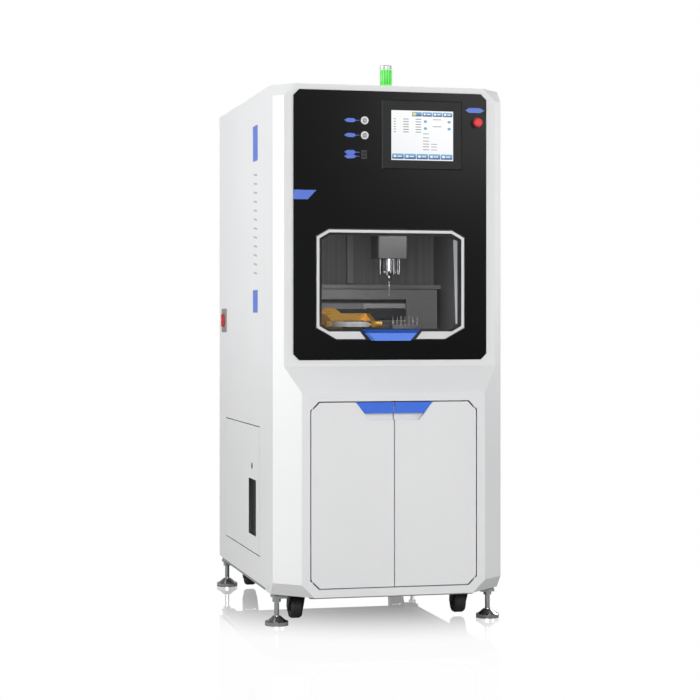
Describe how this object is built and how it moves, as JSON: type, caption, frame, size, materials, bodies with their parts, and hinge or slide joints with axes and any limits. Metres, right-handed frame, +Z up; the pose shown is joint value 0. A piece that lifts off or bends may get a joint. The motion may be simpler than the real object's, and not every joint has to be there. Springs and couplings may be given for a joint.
{
  "type": "dental milling machine",
  "caption": "Free-standing five-axis dental milling machine: lift-up window, touch screen, signal tower, storage doors, service cover, casters and levelling feet.",
  "frame": {"origin": "on the floor, centred under the machine", "axes": "+Z up, +Y to the back, +X to the right as seen by a person who faces the window"},
  "size_m": [0.79, 1.1249, 1.817],
  "materials": {
    "white_paint": "fine satin powder coat",
    "panel_black": "gloss",
    "frame_grey": "satin",
    "window_black": "satin",
    "tinted_glass": "clear, tinted",
    "trim_white": "semi-gloss",
    "blue_accent": "semi-gloss",
    "chamber_grey": "satin",
    "guard_steel": "brushed",
    "cast_bed": "painted",
    "ground_steel": "ground",
    "galvanised": "satin",
    "collector_grey": "matt",
    "duct_steel": "satin",
    "control_grey": "textured powder coat",
    "bezel_grey": "satin",
    "screen": "lit display",
    "button_metal": "brushed",
    "isolator_grey": "matt",
    "signal_red": "semi-gloss",
    "tower_silver": "satin",
    "lens_green": "translucent",
    "foot_chrome": "polished",
    "black_fittings": "matt",
    "caster_black": "satin",
    "wheel_black": "matt",
    "carriage_alu": "satin",
    "gold_anodised": "anodised",
    "ring_white": "satin",
    "blank_white": "matt"
  },
  "bodies": {
    "cabinet": {"base_frame": "frame_grey", "upper_frame": "frame_grey", "front_fascia": "white_paint", "front_panel": "panel_black", "side_panel_left": "white_paint", "side_panel_right": "white_paint", "rear_panel": "white_paint", "top_panel": "white_paint", "chamber_tub": "chamber_grey", "way_cover": "guard_steel", "machine_bed": "cast_bed", "gantry_bridge": "cast_bed", "axis_rails": "ground_steel", "axis_drives": "ground_steel", "tool_rack": "guard_steel", "tool_burs": "ground_steel", "cabinet_liner": "galvanised", "dust_collector": "collector_grey", "suction_duct": "duct_steel", "control_box": "control_grey", "hmi_bezel": "bezel_grey", "hmi_screen": "screen", "panel_fittings": "button_metal", "isolator_plate": "isolator_grey", "tower_housing": "tower_silver", "tower_lens": "lens_green", "levelling_feet": "foot_chrome", "hinges": "ground_steel", "rear_fittings": "black_fittings"},
    "door_left": {"door_left": "white_paint", "door_pull_left": "blue_accent"},
    "door_right": {"door_right": "white_paint", "door_pull_right": "blue_accent"},
    "window": {"window_frame": "window_black", "window_glass": "tinted_glass", "window_trim": "trim_white", "window_handle": "blue_accent"},
    "service_cover": {"service_cover": "white_paint"},
    "cover_latch": {"cover_latch": "black_fittings"},
    "isolator_handle": {"isolator_handle": "signal_red"},
    "button_upper": {"button_upper": "button_metal"},
    "button_lower": {"button_lower": "button_metal"},
    "estop_head": {"estop_head": "signal_red"},
    "x_carriage": {"x_carriage": "carriage_alu"},
    "z_head": {"z_housing": "chamber_grey", "spindle_body": "guard_steel"},
    "spindle": {"spindle_collet": "ground_steel"},
    "y_table": {"y_table": "carriage_alu"},
    "tilt_cradle": {"tilt_cradle": "gold_anodised"},
    "clamp_ring": {"clamp_ring": "ring_white", "blank_disc": "blank_white"},
    "fan_rotor": {"fan_rotor": "black_fittings"},
    "caster_fork_front_left": {"caster_fork_front_left": "caster_black"},
    "caster_wheel_front_left": {"caster_wheel_front_left": "wheel_black"},
    "caster_fork_front_right": {"caster_fork_front_right": "caster_black"},
    "caster_wheel_front_right": {"caster_wheel_front_right": "wheel_black"},
    "caster_fork_rear_left": {"caster_fork_rear_left": "caster_black"},
    "caster_wheel_rear_left": {"caster_wheel_rear_left": "wheel_black"},
    "caster_fork_rear_right": {"caster_fork_rear_right": "caster_black"},
    "caster_wheel_rear_right": {"caster_wheel_rear_right": "wheel_black"}
  },
  "joints": [
    {"name": "door_left_hinge", "type": "hinge", "parent": "cabinet", "child": "door_left", "pos_m": [-0.269, -0.5595, 0.428], "axis": [0, 0, -1], "range_deg": [0, 95]},
    {"name": "door_right_hinge", "type": "hinge", "parent": "cabinet", "child": "door_right", "pos_m": [0.269, -0.5595, 0.428], "axis": [0, 0, 1], "range_deg": [0, 95]},
    {"name": "window_hinge", "type": "hinge", "parent": "cabinet", "child": "window", "pos_m": [0, -0.5158, 1.2811], "axis": [-1, 0, 0], "range_deg": [0, 85]},
    {"name": "service_cover_hinge", "type": "hinge", "parent": "cabinet", "child": "service_cover", "pos_m": [-0.376, 0.4025, 0.418], "axis": [0, 0, -1], "range_deg": [0, 95]},
    {"name": "cover_latch_turn", "type": "hinge", "parent": "service_cover", "child": "cover_latch", "pos_m": [-0.382, -0.1165, 0.4945], "axis": [1, 0, 0], "range_deg": [0, 90]},
    {"name": "isolator_turn", "type": "hinge", "parent": "cabinet", "child": "isolator_handle", "pos_m": [-0.382, 0.4335, 0.988], "axis": [1, 0, 0], "range_deg": [0, 90]},
    {"name": "button_upper_press", "type": "slide", "parent": "cabinet", "child": "button_upper", "axis": [0, 1, 0], "range_m": [0, 0.003], "stiffness_N_per_m": 400},
    {"name": "button_lower_press", "type": "slide", "parent": "cabinet", "child": "button_lower", "axis": [0, 1, 0], "range_m": [0, 0.003], "stiffness_N_per_m": 400},
    {"name": "estop_press", "type": "slide", "parent": "cabinet", "child": "estop_head", "axis": [0, 1, 0], "range_m": [0, 0.005], "stiffness_N_per_m": 800},
    {"name": "x_slide", "type": "slide", "parent": "cabinet", "child": "x_carriage", "axis": [1, 0, 0], "range_m": [-0.18, 0.08]},
    {"name": "z_slide", "type": "slide", "parent": "x_carriage", "child": "z_head", "axis": [0, 0, 1], "range_m": [-0.02, 0.08]},
    {"name": "spindle_spin", "type": "hinge", "parent": "z_head", "child": "spindle", "pos_m": [0.066, -0.24, 1.15], "axis": [0, 0, 1], "continuous": true},
    {"name": "y_slide", "type": "slide", "parent": "cabinet", "child": "y_table", "axis": [0, 1, 0], "range_m": [-0.04, 0.05]},
    {"name": "tilt_turn", "type": "hinge", "parent": "y_table", "child": "tilt_cradle", "pos_m": [-0.129, -0.178, 0.9815], "axis": [0, 1, 0], "range_deg": [-25, 25]},
    {"name": "clamp_turn", "type": "hinge", "parent": "tilt_cradle", "child": "clamp_ring", "pos_m": [-0.077, -0.274, 0.9725], "axis": [1, 0, 0], "range_deg": [-30, 30]},
    {"name": "fan_spin", "type": "hinge", "parent": "cabinet", "child": "fan_rotor", "pos_m": [-0.14, 0.525, 1.5], "axis": [0, 1, 0], "continuous": true},
    {"name": "caster_swivel_front_left", "type": "hinge", "parent": "cabinet", "child": "caster_fork_front_left", "pos_m": [-0.279, -0.3535, 0.088], "axis": [0, 0, 1], "continuous": true},
    {"name": "caster_roll_front_left", "type": "hinge", "parent": "caster_fork_front_left", "child": "caster_wheel_front_left", "pos_m": [-0.279, -0.3355, 0.0455], "axis": [1, 0, 0], "continuous": true},
    {"name": "caster_swivel_front_right", "type": "hinge", "parent": "cabinet", "child": "caster_fork_front_right", "pos_m": [0.279, -0.3535, 0.088], "axis": [0, 0, 1], "continuous": true},
    {"name": "caster_roll_front_right", "type": "hinge", "parent": "caster_fork_front_right", "child": "caster_wheel_front_right", "pos_m": [0.279, -0.3355, 0.0455], "axis": [1, 0, 0], "continuous": true},
    {"name": "caster_swivel_rear_left", "type": "hinge", "parent": "cabinet", "child": "caster_fork_rear_left", "pos_m": [-0.279, 0.4635, 0.088], "axis": [0, 0, 1], "continuous": true},
    {"name": "caster_roll_rear_left", "type": "hinge", "parent": "caster_fork_rear_left", "child": "caster_wheel_rear_left", "pos_m": [-0.279, 0.4815, 0.0455], "axis": [1, 0, 0], "continuous": true},
    {"name": "caster_swivel_rear_right", "type": "hinge", "parent": "cabinet", "child": "caster_fork_rear_right", "pos_m": [0.279, 0.4635, 0.088], "axis": [0, 0, 1], "continuous": true},
    {"name": "caster_roll_rear_right", "type": "hinge", "parent": "caster_fork_rear_right", "child": "caster_wheel_rear_right", "pos_m": [0.279, 0.4815, 0.0455], "axis": [1, 0, 0], "continuous": true}
  ]
}
